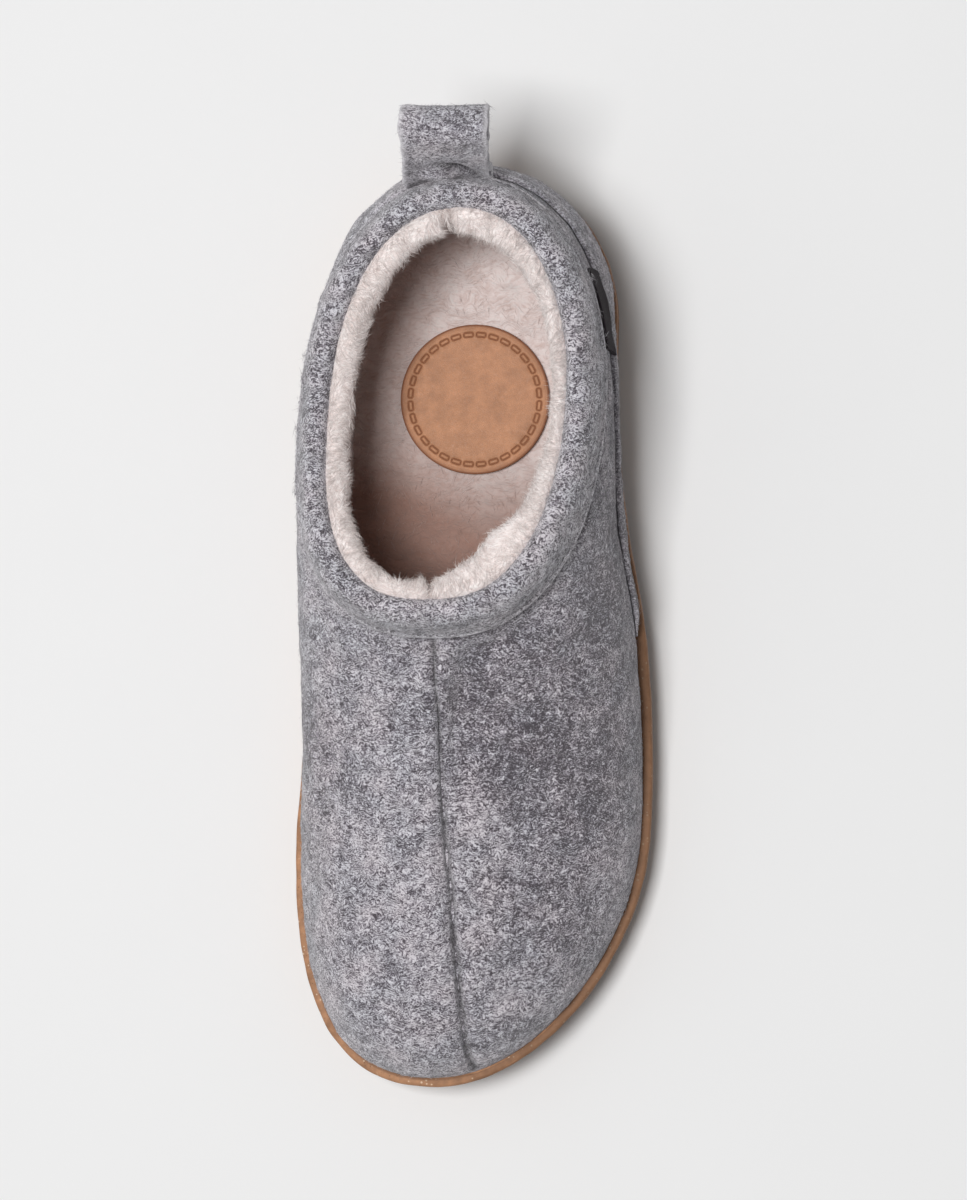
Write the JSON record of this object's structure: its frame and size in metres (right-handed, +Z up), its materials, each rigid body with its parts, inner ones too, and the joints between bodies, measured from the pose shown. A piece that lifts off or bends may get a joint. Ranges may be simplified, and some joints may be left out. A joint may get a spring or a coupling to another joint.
{
  "type": "felt slipper",
  "caption": "Closed-back felt slipper for the left foot with a padded collar, fleece footbed, heel counter, pull loop and moulded tan sole.",
  "frame": {"origin": "middle of the flat under the heel, on the floor", "axes": "+Z up, -Y towards the toe and +Y towards the heel, +X towards the outer side of the foot"},
  "size_m": [0.1053, 0.2818, 0.1026],
  "materials": {
    "grey_felt": "thick mottled grey wool felt with a short nap",
    "tan_rubber": "tan moulded rubber with fine pale flecks",
    "cream_fleece": "cream fleece with a soft short pile",
    "tan_leather": "smooth tan leather with a pressed ring near its edge",
    "dark_webbing": "bare dark woven tape"
  },
  "bodies": {
    "root": {"outsole": "tan_rubber", "insole": "cream_fleece", "upper": "grey_felt", "heel_counter": "grey_felt", "collar_band": "grey_felt", "insole_disc": "tan_leather", "pull_loop": "grey_felt", "side_tab": "dark_webbing"}
  },
  "joints": []
}
